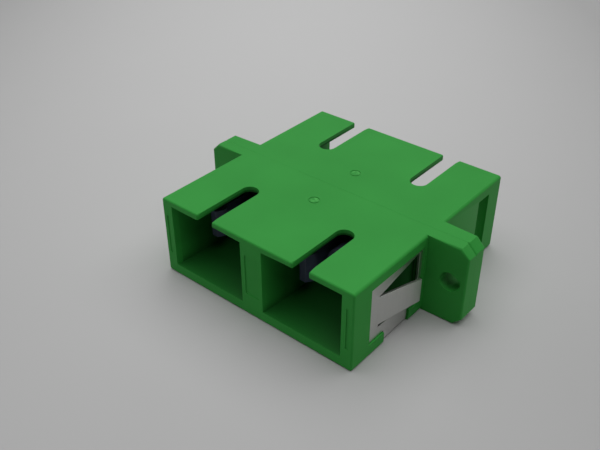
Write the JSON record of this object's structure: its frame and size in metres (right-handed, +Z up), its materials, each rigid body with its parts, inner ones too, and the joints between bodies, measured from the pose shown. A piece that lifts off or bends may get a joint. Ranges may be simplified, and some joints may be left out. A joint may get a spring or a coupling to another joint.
{
  "type": "duplex fibre adapter",
  "caption": "Flanged fibre adapter with paired ports on each side, key slots on top, split alignment sleeves and a spring clip for a panel cut-out.",
  "frame": {"origin": "middle of the underside, on the joint between the two housing halves", "axes": "+X across the ports, towards the right ear; +Y towards the rear mouths, so the half with the spring clip faces -Y; +Z up, towards the key slots"},
  "size_m": [0.0346, 0.027, 0.0094],
  "materials": {
    "green_plastic": "satin moulded",
    "navy_plastic": "satin moulded",
    "zirconia": "ground",
    "stainless_strip": "brushed"
  },
  "bodies": {
    "root": {"front_housing": "green_plastic", "rear_housing": "green_plastic", "front_latch_left": "navy_plastic", "front_latch_right": "navy_plastic", "rear_latch_left": "navy_plastic", "rear_latch_right": "navy_plastic", "split_sleeve_left": "zirconia", "split_sleeve_right": "zirconia", "spring_clip": "stainless_strip"}
  },
  "joints": []
}
